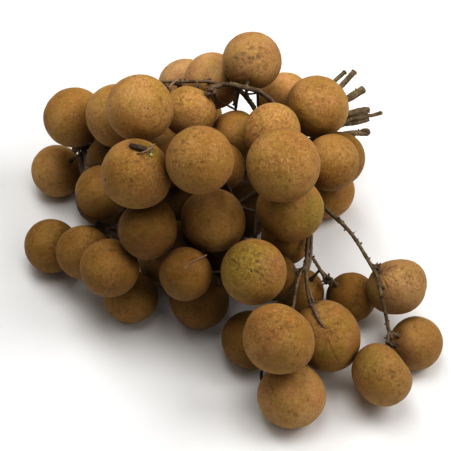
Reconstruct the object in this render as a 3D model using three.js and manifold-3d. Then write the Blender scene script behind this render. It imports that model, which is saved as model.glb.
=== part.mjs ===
// A bunch of longans lying on a flat surface: round fruits heaped round the twigs that they hang on.
//
// Units are millimetres and +Z is up. The origin is on the surface, under the middle of the bunch.
// The cut ends of the twigs fan out at the back right, a long twig with three fruits lies at the
// front right, and the heap slopes down to the front and to the left.
//
// Every fruit is a convex solid of its own, a little shorter than wide along its stalk. Every spray
// is one twig: its stem, its forks, the stalks of its fruits, and the buds and scars along them,
// joined into one solid. Fruits and twigs keep a small gap, so that no two solids touch.

import * as THREE from 'three';
import { mergeVertices } from 'three/addons/utils/BufferGeometryUtils.js';
import Module from 'manifold-3d';

const wasm = await Module();
wasm.setup();

// ---- Driving dimensions -------------------------------------------------------------------------

const fruitGap = 0.35; // between two fruits
const stalkGap = 0.3; // at least this much between a fruit and any twig
const stalkEndGap = 0.4; // between a fruit and the end of its own stalk
const stemClearance = 0.8; // between a stem and the fruits it passes
const stalkClearance = 0.45; // between a stalk and the fruits it passes
const twigGap = 0.8; // between the twigs of two sprays, where they bend round each other
const cutGap = 0.35; // at least this much between them, where there is no room to bend
const usualLength = 0.95; // length of a fruit along its stalk, as a share of its diameter
const restingHeight = 0.92; // height of a resting fruit's centre, as a share of its radius
const fruitDetail = 2; // subdivision of a fruit's faces

const forkRadius = 0.75;
const stalkRadius = 0.65;
const stalkEndRadius = 1.0; // the small collar where a fruit hangs on
const firstSeed = 101;
const stemSides = 6;
const stalkSides = 4;
const twigStep = 5.5; // length of one piece of a twig's solid
const routeStep = 2; // distance between the points of a route while it is bent clear

const stalkLead = 2; // route points from a stalk's root on to the twig's nearest point
const bareLead = 3; // route points at a cut end that carry no stalk
const collarShare = 0.85; // where along a stalk its collar begins
const detourWeight = 2; // how much a stalk avoids a way that other fruits block
const probeStep = 0.1; // share of a way between two looks at what blocks it
const budLength = 1.5;
const budRadius = 0.55;
const budSpacing = 14;
const budSides = 3;
const budRoom = 4.5; // from a bud's tip to another spray's twig
const knotBuds = 3; // buds and scars crowded at the end of a stem
const budSlant = 0.5; // how far a bud may lean along its twig
const budTaper = 0.55; // a bud's tip, as a share of its root
const budSunk = 0.7; // depth of a bud's root, as a share of the twig's radius
const knotStep = 0.7; // between the buds of a knot
const bareTip = 4; // from the last single bud to the twig's end

const settleRounds = 600;
const homePull = 0.02; // how strongly a fruit keeps its place while the heap settles
const stemRounds = 160;
const stalkRounds = 120;
const smoothing = 0.2; // how strongly a route straightens in each round
const routePull = 0.15; // how strongly it keeps its first course

const groundDepth = 30;
const groundWidth = 600;

// ---- The sprays ---------------------------------------------------------------------------------
// Each stem runs from its cut end into the heap, with a radius at each end of it; each fork starts
// on the nearest point of its stem.
// A fruit is [x, y, z, diameter], then its length share where that isn't the usual one. One with a
// z of 0 rests on the surface, at its resting height.

const sprays = [
  {
    name: 'twig_arch',
    radii: [1.4, 1.1],
    stem: [
      [58, 76, 52], [50, 68, 48], [40, 58, 41], [30, 46, 43], [25, 40, 51], [22, 42, 61],
      [19, 42, 67], [15, 42, 71], [10, 43, 74], [4, 46, 74], [-1, 46, 72], [-7, 45, 69],
    ],
    forks: [
      [[-1, 46, 73], [-9, 50, 70], [-17, 52, 68], [-24, 54, 66], [-30, 56, 64], [-36, 51, 67]],
      [[4, 46, 73], [4, 44, 68], [4, 44, 62]],
      [[8, 44, 74], [9, 44, 67], [12, 44, 60], [13, 46, 50]],
    ],
    fruits: [
      [-34, 22, 81, 27], [-45, 38, 61, 28], [-15, 41, 61, 23], [-18, 77, 42, 25.5],
      [-6, 63, 58, 25], [11, 56, 76, 25], [5, 38, 49, 23],
    ],
  },
  {
    name: 'twig_left',
    radii: [1.3, 0.85],
    stem: [
      [65, 66, 33], [56, 62, 35], [44, 53, 34], [32, 42, 36], [16, 33, 34], [0, 32, 34],
      [-14, 38, 37], [-30, 43, 37], [-45, 52, 42], [-56, 50, 35], [-64, 48, 31],
    ],
    forks: [
      [[-14, 36, 38], [-14, 28, 47], [-14, 17, 60], [-24, 8, 64], [-30, 6, 62]],
      [[2, 32, 34], [0, 46, 32], [-4, 60, 29], [-6, 70, 27]],
    ],
    fruits: [
      [-67, 54, 45, 27], [-78, 53, 0, 24.5], [-50, 37, 36, 22], [-52, 14, 40, 23],
      [-55, 35, 0, 25.5], [-50, 64, 17, 25], [-31, 60, 19, 24], [-26, 22, 49, 22],
      [-34, -8, 75, 27], [-14, 88, 0, 25],
    ],
  },
  {
    name: 'twig_slope',
    radii: [0.95, 0.8],
    stem: [
      [71, 68, 34], [64, 66, 36], [54, 61, 38], [43, 51, 39], [32, 39, 38], [15, 25, 31],
      [-2, 10, 32], [-14, 4, 30], [-30, 5, 32], [-41, -2, 29], [-47, -4, 27],
    ],
    forks: [
      [[-46, -3, 27], [-52, 6, 26], [-62, 9, 23]],
    ],
    fruits: [
      [-76, 8, 0, 24], [-60, -5, 23, 23.5], [-47, -21, 34, 24], [-40, -19, 0, 23],
      [-31, -16, 51, 23.5], [-27, 1, 0, 21.5], [-20.5, -6.5, 29.5, 21],
    ],
  },
  {
    name: 'twig_middle',
    radii: [1.25, 0.85],
    stem: [
      [65, 60, 29], [54, 57, 32], [42, 48, 36], [30, 36, 40], [18, 20, 38], [13, 6, 34],
      [12, -6, 31], [6, -16, 29], [0, -21, 28],
    ],
    forks: [
      [[14, 8, 35], [6, 6, 40], [-2, 6, 62]],
    ],
    fruits: [
      [-10, -10, 85, 26], [-13, 21, 31, 22.5], [-5, -8, 48, 26.5], [4, -1, 0, 23.5],
      [-16, -29, 40, 21.5], [-11, -21, 0, 25.5], [11, -32, 45, 26], [-3, 16, 53, 22.5],
    ],
  },
  {
    name: 'twig_right',
    radii: [1.1, 0.85],
    stem: [
      [54, 78, 50], [47, 71, 48], [39, 59, 40], [33, 48, 44], [31, 36, 51], [31, 26, 56],
      [31, 15, 60],
    ],
    forks: [
      [[33, 48, 44], [30, 44, 30], [26, 39, 23], [21.5, 33, 20]],
    ],
    fruits: [
      [22, -6, 78, 28.5], [19, 24, 66, 24], [26, -4, 50, 27.5], [44, 19, 53, 24],
      [49, 36, 37, 24.5], [39, 44, 61, 27], [26, 63, 47, 25], [47, 40, 0, 24.5],
      [16, 60, 0, 24], [9, 25.5, 17, 24],
    ],
  },
  {
    name: 'twig_front',
    radii: [1.3, 0.85],
    stem: [
      [65, 67, 37], [56, 63, 39], [44, 54, 37], [36, 42, 38], [35, 28, 40], [36, 14, 38],
      [35, 0, 36], [34, -8, 35], [33, -18, 32], [33, -28, 29], [34, -37, 30],
    ],
    forks: [
      [[34, -12, 33], [36, -13, 30], [39, -16, 26], [41, -18, 23]],
      [[33, -16, 32], [30, -23, 31], [28, -31, 31], [27, -39, 31], [25, -43, 31]],
    ],
    fruits: [
      [26, 0, 25, 23], [33, -16, 0, 20, 1.05], [21, -19, 25, 19.5], [42, -46, 19, 26.5, 1.1],
      [53, -19, 0, 21.5], [20, -60, 40, 27], [26, -68, 0, 27], [10, -41, 0, 24],
    ],
  },
  {
    name: 'twig_long',
    radii: [1.4, 0.85],
    stem: [
      [62, 71, 46], [54, 66, 44], [42, 55, 40], [34, 43, 43], [36, 28, 42], [39, 16, 38],
      [41, 9, 36], [45, 5, 36], [49, 1, 35], [52, -3, 34], [55, -8, 33], [57, -14, 33],
      [59, -20, 34], [61, -28, 36], [62, -35, 32], [64, -39, 27], [65, -42, 22], [67, -45, 17],
    ],
    forks: [],
    fruits: [
      [69, -24, 24, 25.5, 0.88], [78, -42, 0, 22], [60, -61, 17, 24.5],
    ],
  },
];

const skin = { color: 0xa8763c, roughness: 0.72, metalness: 0 };
const bark = { color: 0x6b5643, roughness: 0.85, metalness: 0 };

// ---- Small helpers ------------------------------------------------------------------------------

const point = ([x, y, z]) => new THREE.Vector3(x, y, z);

// Repeatable random numbers from 0 to 1.
function randomFrom(seed) {
  let state = seed;
  return () => {
    state = (state + 0x6d2b79f5) | 0;
    let mixed = Math.imul(state ^ (state >>> 15), 1 | state);
    mixed = (mixed + Math.imul(mixed ^ (mixed >>> 7), 61 | mixed)) ^ mixed;
    return ((mixed ^ (mixed >>> 14)) >>> 0) / 4294967296;
  };
}

// A closed geometry as a solid that can be joined and cut.
function toSolid(geometry) {
  const bare = geometry.clone();
  bare.deleteAttribute('normal');
  bare.deleteAttribute('uv');
  const merged = mergeVertices(bare, 1e-4);
  return new wasm.Manifold(new wasm.Mesh({
    numProp: 3,
    vertProperties: new Float32Array(merged.attributes.position.array),
    triVerts: new Uint32Array(merged.index.array),
  }));
}

// A solid back as a geometry with smooth shading.
function toGeometry(solid) {
  const mesh = solid.getMesh();
  const geometry = new THREE.BufferGeometry();
  geometry.setAttribute('position', new THREE.BufferAttribute(mesh.vertProperties, 3));
  geometry.setIndex(new THREE.BufferAttribute(mesh.triVerts, 1));
  geometry.computeVertexNormals();
  return geometry;
}

// A twig may lose a loose scrap where it is cut clear of its neighbours.
function largestPiece(solid) {
  return solid.decompose().reduce((best, piece) => (piece.volume() > best.volume() ? piece : best));
}

const ground = toSolid(
  new THREE.BoxGeometry(groundWidth, groundWidth, groundDepth).translate(0, 0, -groundDepth / 2),
);

// ---- The heap: fruits settle beside each other --------------------------------------------------

const fruits = sprays.flatMap((spray, sprayIndex) =>
  spray.fruits.map(([x, y, z, diameter, length = usualLength]) => ({
    centre: new THREE.Vector3(x, y, z),
    home: new THREE.Vector3(x, y, z),
    radius: diameter / 2,
    reach: (diameter / 2) * Math.max(1, length),
    length,
    sprayIndex,
  })));

// Fruits that would press into each other move apart, and none sinks below its resting height.
function settleFruits(rounds) {
  const between = new THREE.Vector3();
  for (let round = 0; round < rounds; round += 1) {
    for (let i = 0; i < fruits.length; i += 1) {
      for (let j = i + 1; j < fruits.length; j += 1) {
        between.subVectors(fruits[i].centre, fruits[j].centre);
        const apart = between.length();
        const press = fruits[i].reach + fruits[j].reach + fruitGap - apart;
        if (press > 0) {
          between.multiplyScalar((0.5 * press) / apart);
          fruits[i].centre.add(between);
          fruits[j].centre.sub(between);
        }
      }
    }
    for (const fruit of fruits) {
      fruit.centre.lerp(fruit.home, round < rounds / 2 ? homePull : 0);
      fruit.centre.z = Math.max(fruit.centre.z, restingHeight * fruit.radius);
    }
  }
}

// ---- Routes of stems, forks and stalks ----------------------------------------------------------

// A route through the given points, sampled at even steps.
function makeRoute(points, sprayIndex, radiusAt) {
  const curve = new THREE.CatmullRomCurve3(points, false, 'centripetal');
  const count = Math.max(2, Math.round(curve.getLength() / routeStep));
  const samples = curve.getSpacedPoints(count);
  return { points: samples, home: samples.map((p) => p.clone()), sprayIndex, radiusAt };
}

// Pushes a point of a route out of the ball round a centre.
function pushOut(p, centre, distance) {
  const away = new THREE.Vector3().subVectors(p, centre);
  const apart = away.length();
  if (apart < distance && apart > 0) {
    p.addScaledVector(away, (distance - apart) / apart);
  }
}

// Bends routes clear of the fruits and of the other sprays' routes, and keeps them smooth.
function bendClear(routes, standing, clearance, rounds) {
  for (let round = 0; round < rounds; round += 1) {
    for (const route of routes) {
      const last = route.points.length - 1;
      route.points.forEach((p, i) => {
        if (i === 0 || (i === last && route.fruit)) return;
        if (i < last) {
          const middle = route.points[i - 1].clone().add(route.points[i + 1]).multiplyScalar(0.5);
          p.lerp(middle, smoothing);
        }
        p.lerp(route.home[i], routePull);
        const radius = route.radiusAt(i / last);
        for (const fruit of fruits) {
          if (fruit !== route.fruit) pushOut(p, fruit.centre, fruit.reach + radius + clearance);
        }
        for (const other of [...routes, ...standing]) {
          if (other.sprayIndex !== route.sprayIndex) {
            other.points.forEach((q, k) => {
              const otherRadius = other.radiusAt(k / (other.points.length - 1));
              pushOut(p, q, radius + otherRadius + twigGap);
            });
          }
        }
        p.z = Math.max(p.z, radius + twigGap);
      });
      if (route.parent) route.points[0].copy(nearestOn(route.parent, route.points[1]));
      if (route.fruit) hangFruit(route);
    }
  }
}

// The point of a route that lies nearest to a target.
function nearestOn(route, target) {
  return route.points.reduce((best, p) =>
    (p.distanceTo(target) < best.distanceTo(target) ? p : best));
}

// Sets the end of a stalk on its fruit, where the stalk arrives.
function hangFruit(route) {
  const { fruit, points } = route;
  const last = points.length - 1;
  fruit.axis = new THREE.Vector3().subVectors(points[last - 1], fruit.centre).normalize();
  const reach = fruit.radius * fruit.length + stalkEndGap;
  points[last].copy(fruit.centre).addScaledVector(fruit.axis, reach);
}

// How much of the straight way from a twig to a fruit runs inside other fruits.
function blocked(start, fruit) {
  const probe = new THREE.Vector3();
  let depth = 0;
  for (let share = 0; share <= 1; share += probeStep) {
    probe.lerpVectors(start, fruit.centre, share);
    for (const other of fruits) {
      const inside = other.reach + stalkRadius + stalkClearance - probe.distanceTo(other.centre);
      if (other !== fruit && inside > 0) depth += inside;
    }
  }
  return depth;
}

// A fruit hangs on the point of its spray that it reaches by the shortest clear way.
function makeStalk(fruit, routes) {
  let best = { score: Infinity };
  for (const parent of routes) {
    if (parent.sprayIndex !== fruit.sprayIndex) continue;
    parent.points.forEach((start, i) => {
      if (i < bareLead && !parent.parent) return;
      const behind = Math.max(0, i - stalkLead);
      const score = start.distanceTo(fruit.centre) + detourWeight * blocked(start, fruit);
      if (score < best.score) best = { score, start: parent.points[behind] };
    });
  }
  const arrival = new THREE.Vector3().subVectors(best.start, fruit.centre);
  const reach = fruit.radius * fruit.length + stalkEndGap;
  arrival.setLength(Math.min(arrival.length(), reach)).add(fruit.centre);
  const radiusAt = (share) => (share > collarShare ? stalkEndRadius : stalkRadius);
  const route = makeRoute([best.start.clone(), arrival], fruit.sprayIndex, radiusAt);
  route.fruit = fruit;
  hangFruit(route);
  return route;
}

// ---- Solids -------------------------------------------------------------------------------------

// A twig along a route: a straight round bar of many slices, bent along the curve.
function twigSolid(route, extra = 0) {
  const curve = new THREE.CatmullRomCurve3(route.points, false, 'centripetal');
  const steps = Math.max(2, Math.round(curve.getLength() / twigStep));
  const frames = curve.computeFrenetFrames(steps, false);
  const sides = route.fruit ? stalkSides : stemSides;
  const bar = new THREE.CylinderGeometry(1, 1, 1, sides, steps);
  const place = bar.attributes.position;
  for (let i = 0; i < place.count; i += 1) {
    const share = THREE.MathUtils.clamp(0.5 - place.getY(i), 0, 1);
    const slice = Math.round(share * steps);
    const radius = route.radiusAt(share) + extra;
    const p = curve.getPointAt(share)
      .addScaledVector(frames.normals[slice], radius * place.getX(i))
      .addScaledVector(frames.binormals[slice], radius * place.getZ(i));
    place.setXYZ(i, p.x, p.y, p.z);
  }
  return toSolid(bar);
}

// Whether a point keeps clear of every fruit and of the other sprays' twigs.
function isFree(p, sprayIndex) {
  const clearOfFruits = fruits.every((fruit) =>
    p.distanceTo(fruit.centre) > fruit.reach + stalkGap + budRadius);
  const clearOfTwigs = [...stems, ...stalks].every((route) =>
    route.sprayIndex === sprayIndex || p.distanceTo(nearestOn(route, p)) > budRoom);
  return clearOfFruits && clearOfTwigs;
}

// A bud or scar: a short blunt cone with its root inside the twig, where there is room for it.
function budSolid(route, share, random) {
  const curve = new THREE.CatmullRomCurve3(route.points, false, 'centripetal');
  const along = curve.getTangentAt(share);
  const side = new THREE.Vector3(random() - 0.5, random() - 0.5, random() - 0.5).cross(along);
  side.normalize().addScaledVector(along, budSlant * random()).normalize();
  const length = budLength * (0.7 + 0.6 * random());
  const tip = length + route.radiusAt(share) * budSunk;
  const root = curve.getPointAt(share);
  if (!isFree(root.clone().addScaledVector(side, tip), route.sprayIndex)) return null;
  const bud = new THREE.CylinderGeometry(budRadius * budTaper, budRadius, tip, budSides, 1);
  bud.translate(0, tip / 2, 0);
  bud.applyQuaternion(new THREE.Quaternion().setFromUnitVectors(new THREE.Vector3(0, 1, 0), side));
  bud.translate(root.x, root.y, root.z);
  return toSolid(bud);
}

// Where along a route its buds stand: singly, and crowded in a knot at the end of a stem.
function budShares(route, random) {
  const length = new THREE.CatmullRomCurve3(route.points).getLength();
  const shares = [];
  let at = budSpacing * (0.5 + random());
  while (at < length - bareTip) {
    shares.push(at / length);
    at += budSpacing * (0.6 + 0.8 * random());
  }
  if (!route.parent) {
    for (let k = 0; k < knotBuds; k += 1) shares.push(1 - ((k + 1) * knotStep) / length);
  }
  return shares;
}

// A fruit round the origin: a ball with a corner at its stalk, a little shorter along the stalk.
function fruitSolid(fruit) {
  const ball = new THREE.IcosahedronGeometry(1, fruitDetail);
  const corner = new THREE.Vector3().fromBufferAttribute(ball.attributes.position, 0).normalize();
  ball.applyQuaternion(new THREE.Quaternion().setFromUnitVectors(corner, new THREE.Vector3(0, 0, 1)));
  ball.scale(fruit.radius, fruit.radius, fruit.radius * fruit.length);
  ball.applyQuaternion(
    new THREE.Quaternion().setFromUnitVectors(new THREE.Vector3(0, 0, 1), fruit.axis),
  );
  return toSolid(ball);
}

const shifted = (solid, centre) => solid.translate([centre.x, centre.y, centre.z]);

// ---- Assembly -----------------------------------------------------------------------------------

settleFruits(settleRounds);

const stems = sprays.flatMap((spray, sprayIndex) => {
  const taper = (share) => THREE.MathUtils.lerp(...spray.radii, share);
  const stem = makeRoute(spray.stem.map(point), sprayIndex, taper);
  const forks = spray.forks.map((fork) => {
    const route = makeRoute(fork.map(point), sprayIndex, () => forkRadius);
    route.parent = stem;
    return route;
  });
  return [stem, ...forks];
});
bendClear(stems, [], stemClearance, stemRounds);

const stalks = fruits.map((fruit) => makeStalk(fruit, stems));
bendClear(stalks, stems, stalkClearance, stalkRounds);

const balls = fruits.map(fruitSolid);
const group = new THREE.Group();

function addMesh(name, solid, look) {
  const mesh = new THREE.Mesh(toGeometry(solid), new THREE.MeshStandardMaterial(look));
  mesh.name = name;
  group.add(mesh);
}

fruits.forEach((fruit, i) => {
  const solid = shifted(balls[i], fruit.centre).subtract(ground);
  addMesh(`fruit_${String(i + 1).padStart(2, '0')}`, solid, skin);
});

// Room for the twigs already made, which the later ones keep clear of.
let taken = null;

sprays.forEach((spray, sprayIndex) => {
  const random = randomFrom(firstSeed + sprayIndex);
  const own = [...stems, ...stalks].filter((route) => route.sprayIndex === sprayIndex);
  let twig = own.map((route) => twigSolid(route)).reduce((sum, solid) => sum.add(solid));
  for (const route of own.filter((r) => !r.fruit)) {
    for (const share of budShares(route, random)) {
      const bud = budSolid(route, share, random);
      if (bud) twig = twig.add(bud);
    }
  }
  fruits.forEach((fruit, i) => {
    const swell = 1 + stalkGap / (fruit.radius * fruit.length);
    twig = twig.subtract(shifted(balls[i].scale([swell, swell, swell]), fruit.centre));
  });
  if (taken) twig = twig.subtract(taken);
  addMesh(spray.name, largestPiece(twig.subtract(ground)), bark);
  const room = own.map((route) => twigSolid(route, cutGap)).reduce((sum, solid) => sum.add(solid));
  taken = taken ? taken.add(room) : room;
});

// The origin goes under the middle of the bunch.
const box = new THREE.Box3().setFromObject(group);
group.position.set(-(box.min.x + box.max.x) / 2, -(box.min.y + box.max.y) / 2, 0);

export default group;
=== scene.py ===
"""A longan bunch lying on a pale floor: velvety tan fruits heaped round their brown twigs."""

import math
import random

import bpy
import numpy as np
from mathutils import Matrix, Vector, noise
from mathutils.kdtree import KDTree


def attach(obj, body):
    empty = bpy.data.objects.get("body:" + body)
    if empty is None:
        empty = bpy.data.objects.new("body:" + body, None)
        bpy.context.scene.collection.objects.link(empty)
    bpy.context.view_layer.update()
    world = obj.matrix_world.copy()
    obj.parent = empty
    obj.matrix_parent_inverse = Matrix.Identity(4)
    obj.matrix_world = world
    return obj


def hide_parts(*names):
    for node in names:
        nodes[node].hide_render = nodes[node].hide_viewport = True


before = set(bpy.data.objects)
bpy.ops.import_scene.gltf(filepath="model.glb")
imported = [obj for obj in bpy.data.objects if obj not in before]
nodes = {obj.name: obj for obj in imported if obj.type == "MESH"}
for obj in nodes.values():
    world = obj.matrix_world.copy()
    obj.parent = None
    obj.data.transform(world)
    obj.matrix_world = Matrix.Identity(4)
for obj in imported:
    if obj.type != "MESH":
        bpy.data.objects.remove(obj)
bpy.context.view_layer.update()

MM = 0.001
scene = bpy.context.scene


def placed(name, data):
    """A new object in the scene."""
    thing = bpy.data.objects.new(name, data)
    scene.collection.objects.link(thing)
    return thing


# ---- Camera ----

CAMERA_TARGET = Vector((0.585, -9.543, 35.0)) * MM
CAMERA_DISTANCE = 450 * MM
CAMERA_ELEVATION = math.radians(50)
FOCAL_PIXELS = 1080
FRAME_PIXELS = 451
SENSOR_WIDTH = 36  # mm
NEAREST_SEEN, FARTHEST_SEEN = 0.01, 20  # m

away = Vector((0, math.cos(CAMERA_ELEVATION), -math.sin(CAMERA_ELEVATION)))
up_view = Vector((0, math.sin(CAMERA_ELEVATION), math.cos(CAMERA_ELEVATION)))
right_view = Vector((1, 0, 0))

camera_data = bpy.data.cameras.new("camera")
camera = placed("camera", camera_data)
camera.location = CAMERA_TARGET - away * CAMERA_DISTANCE
camera.rotation_euler = (math.pi / 2 - CAMERA_ELEVATION, 0, 0)
camera_data.sensor_width = SENSOR_WIDTH
camera_data.lens = SENSOR_WIDTH * FOCAL_PIXELS / FRAME_PIXELS
camera_data.clip_start = NEAREST_SEEN
camera_data.clip_end = FARTHEST_SEEN
scene.camera = camera


# ---- Node helpers ----


class Shader:
    """A short way to write a node tree; its patterns are laid out by place in the bunch."""

    def __init__(self, name):
        self.material = bpy.data.materials.new(name)
        self.material.use_nodes = True
        self.tree = self.material.node_tree
        self.tree.nodes.clear()
        self.output = self.add("ShaderNodeOutputMaterial")
        self.where = self.add("ShaderNodeTexCoord").outputs["Object"]

    def add(self, kind, inputs=None, **settings):
        """A node with its settings and what goes into its sockets."""
        node = self.tree.nodes.new(kind)
        for key, value in settings.items():
            setattr(node, key, value)
        for key, value in (inputs or {}).items():
            self.put(node.inputs[key], value)
        return node

    def put(self, socket, value):
        """A socket takes a link or a constant, and is left alone for None."""
        if isinstance(value, bpy.types.NodeSocket):
            self.tree.links.new(value, socket)
        elif isinstance(value, tuple) and len(value) == 3 and socket.type == "RGBA":
            socket.default_value = (*value, 1)
        elif value is not None:
            socket.default_value = value

    def math(self, operation, a, b=None, clamp=False):
        settings = {"operation": operation, "use_clamp": clamp}
        return self.add("ShaderNodeMath", {0: a, 1: b}, **settings).outputs[0]

    def times(self, a, b):
        return self.math("MULTIPLY", a, b)

    def plus(self, a, b):
        return self.math("ADD", a, b)

    def span(self, value, low, high, to_low=0.0, to_high=1.0):
        """Maps low..high to to_low..to_high with soft ends."""
        inputs = dict(enumerate((value, low, high, to_low, to_high)))
        return self.add("ShaderNodeMapRange", inputs, interpolation_type="SMOOTHSTEP").outputs[0]

    def noise(self, scale, detail=2.0, roughness=0.5, distortion=0.0):
        inputs = {"Vector": self.where, "Scale": scale, "Detail": detail, "Roughness": roughness,
                  "Distortion": distortion}
        return self.add("ShaderNodeTexNoise", inputs).outputs[0]

    def cells(self, scale, feature="F1"):
        """Cells of uneven shape: the distance from each one's middle, and its random colour."""
        inputs = {"Vector": self.where, "Scale": scale}
        return self.add("ShaderNodeTexVoronoi", inputs, feature=feature).outputs

    def mix(self, factor, a, b, blend="MIX"):
        """From colour a at factor 0 to colour b at factor 1."""
        inputs = {"Factor": factor, 6: a, 7: b}
        return self.add("ShaderNodeMix", inputs, data_type="RGBA", blend_type=blend).outputs[2]

    def field(self, name):
        """A value that the mesh keeps at each vertex."""
        return self.add("ShaderNodeAttribute", attribute_name=name).outputs["Fac"]

    def bump(self, height, strength, distance, normal=None):
        inputs = {"Strength": strength, "Distance": distance, "Height": height, "Normal": normal}
        return self.add("ShaderNodeBump", inputs).outputs[0]

    def surface(self, color, roughness, normal=None, **constants):
        inputs = {"Base Color": color, "Roughness": roughness, "Normal": normal}
        inputs.update((key.replace("_", " "), value) for key, value in constants.items())
        self.put(self.output.inputs[0], self.add("ShaderNodeBsdfPrincipled", inputs).outputs[0])
        return self.material


# ---- Materials ----


TONE_POWERS = (1.0, 1.15, 1.9)  # how strongly red, green and blue follow a fruit's tone, which holds painted light and shade too


def skin_material():
    """Longan rind: tan, velvety, mottled, with brown freckles, small pits and olive patches, and painted
    light and shade brought in by its tone and dark fields.
    """
    brown_tan, light_tan, dust = (0.302, 0.15, 0.029), (0.378, 0.209, 0.057), (0.35, 0.24, 0.125)
    yellowish, reddish = (0.32, 0.19, 0.03), (0.35, 0.158, 0.052)
    olive_green, dull_red = (0.235, 0.158, 0.018), (0.2, 0.08, 0.042)
    pale_grain, dark_grain = (0.56, 0.365, 0.16), (0.18, 0.085, 0.02)
    mottled, freckled, pitted, stain_and_painted_shadow = ((0.2, 0.095, 0.02), (0.14, 0.066, 0.014),
                                          (0.05, 0.02, 0.008), (0.045, 0.018, 0.006))

    s = Shader("longan_skin")
    tone, olive, red, dusty = (s.field(n) for n in ("tone", "olive", "red", "dusty"))
    spots, dark = s.field("spots"), s.field("dark")

    broad = s.noise(80, 3, 0.55)
    hue = s.noise(130, 3, 0.5)
    mottle = s.noise(430, 3, 0.55, 0.4)
    blotch = s.noise(640, 2, 0.5, 0.3)
    speck = s.noise(1150, 3, 0.6, 0.2)
    grain = s.noise(2400, 2, 0.6)
    color = s.mix(s.span(broad, 0.36, 0.66), brown_tan, light_tan)
    color = s.mix(s.span(hue, 0.52, 0.68, 0, 0.6), color, yellowish)
    color = s.mix(s.span(hue, 0.46, 0.32, 0, 0.5), color, reddish)
    color = s.mix(s.times(olive, s.span(mottle, 0.25, 0.6, 0.75, 1.0)), color, olive_green)
    color = s.mix(s.times(red, 0.6), color, dull_red)
    color = s.mix(s.span(mottle, 0.52, 0.66, 0, 0.36), color, mottled)
    color = s.mix(dusty, color, dust)

    # Pale grains and brown blotches, thickest where the rind is most weathered.
    pale = s.times(s.span(speck, 0.52, 0.66), s.span(spots, 0, 1, 0.18, 0.34))
    color = s.mix(pale, color, pale_grain)
    brown = s.times(s.span(speck, 0.48, 0.36), s.span(spots, 0, 1, 0.18, 0.28))
    color = s.mix(brown, color, dark_grain)
    crowd = s.span(s.plus(s.noise(105, 2, 0.5), s.times(spots, 0.2)), 0.5, 0.66)
    freckle = s.times(s.span(blotch, 0.52, 0.64), crowd)
    color = s.mix(s.times(freckle, 0.44), color, freckled)

    # Small pits, in a few cells picked by their random colour.
    rare = s.cells(250)
    odd = s.add("ShaderNodeSeparateColor", {0: rare["Color"]}).outputs[1]
    chosen = s.math("GREATER_THAN", s.plus(odd, s.times(spots, 0.1)), 0.9)
    hole = s.math("SUBTRACT", 1.0, s.math("DIVIDE", rare["Distance"], 0.11), clamp=True)
    pit = s.times(s.span(hole, 0.0, 0.5), chosen)
    color = s.mix(s.times(pit, 0.8), color, pitted)
    # The dark field: dark creases and spots, with painted shadow where the spots are wide.
    color = s.mix(dark, color, stain_and_painted_shadow)

    # Skin darkened by its tone, partly painted shade deep in the bunch, gets redder as it gets darker; skin
    # paled by its tone, partly ripeness and partly painted light, gets creamier as it gets paler.
    shade = {i: s.math("POWER", tone, power) for i, power in enumerate(TONE_POWERS)}
    shade = s.add("ShaderNodeCombineColor", shade).outputs[0]
    color = s.mix(1.0, color, shade, "MULTIPLY")

    pebble = s.cells(620, "SMOOTH_F1")["Distance"]
    height = s.times(pebble, 0.6)
    for part, share in ((grain, 0.25), (pit, -0.9), (freckle, -0.5), (speck, 0.5)):
        height = s.plus(height, s.times(part, share))
    normal = s.bump(height, 0.6, 0.00026)
    normal = s.bump(mottle, 0.4, 0.0005, normal)
    roughness = s.span(mottle, 0.3, 0.7, 0.64, 0.8)
    return s.surface(color, roughness, normal, Specular_IOR_Level=0.28,
                     Sheen_Weight=0.06, Sheen_Roughness=0.5, Sheen_Tint=(1.0, 0.8, 0.55))


def bark_material():
    """Thin grey-brown bark with paler pores, fine cracks, greenish or pinkish stretches, darker patches and
    painted shade deep in the bunch.
    """
    dark_bark, light_bark, pore_tan = (0.105, 0.072, 0.038), (0.235, 0.166, 0.096), (0.36, 0.27, 0.19)
    deep_pink, pale_pink = (0.27, 0.16, 0.1), (0.4, 0.265, 0.18)
    deep_green, pale_green = (0.12, 0.1, 0.038), (0.27, 0.235, 0.11)
    cracked, dark_bark_and_painted_shade = (0.05, 0.03, 0.016), (0.04, 0.022, 0.014)

    s = Shader("twig_bark")
    pink, green, dark = (s.field(n) for n in ("pink", "green", "dark"))
    broad = s.noise(260, 4, 0.6, 0.5)
    fine = s.noise(1800, 4, 0.65)
    color = s.mix(s.span(broad, 0.35, 0.65), dark_bark, light_bark)
    color = s.mix(pink, color, s.mix(s.span(fine, 0.3, 0.7), deep_pink, pale_pink))
    color = s.mix(green, color, s.mix(s.span(broad, 0.3, 0.7), deep_green, pale_green))
    color = s.mix(s.span(fine, 0.48, 0.66, 0, 0.7), color, cracked)
    pore = s.cells(900)
    pick = s.add("ShaderNodeSeparateColor", {0: pore["Color"]}).outputs[0]
    lenticel = s.times(s.math("GREATER_THAN", pick, 0.78), s.math("LESS_THAN", pore["Distance"], 0.24))
    color = s.mix(s.times(lenticel, 0.6), color, pore_tan)
    # Random darker patches of bark, and painted shade where fruits close round it.
    color = s.mix(s.times(dark, 0.85), color, dark_bark_and_painted_shade)
    height = s.plus(s.times(fine, 0.7), s.times(broad, 0.5))
    height = s.plus(height, s.times(lenticel, 0.4))
    normal = s.bump(height, 0.8, 0.0003)
    return s.surface(color, s.span(fine, 0.3, 0.7, 0.72, 0.92), normal, Specular_IOR_Level=0.3)


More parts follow.
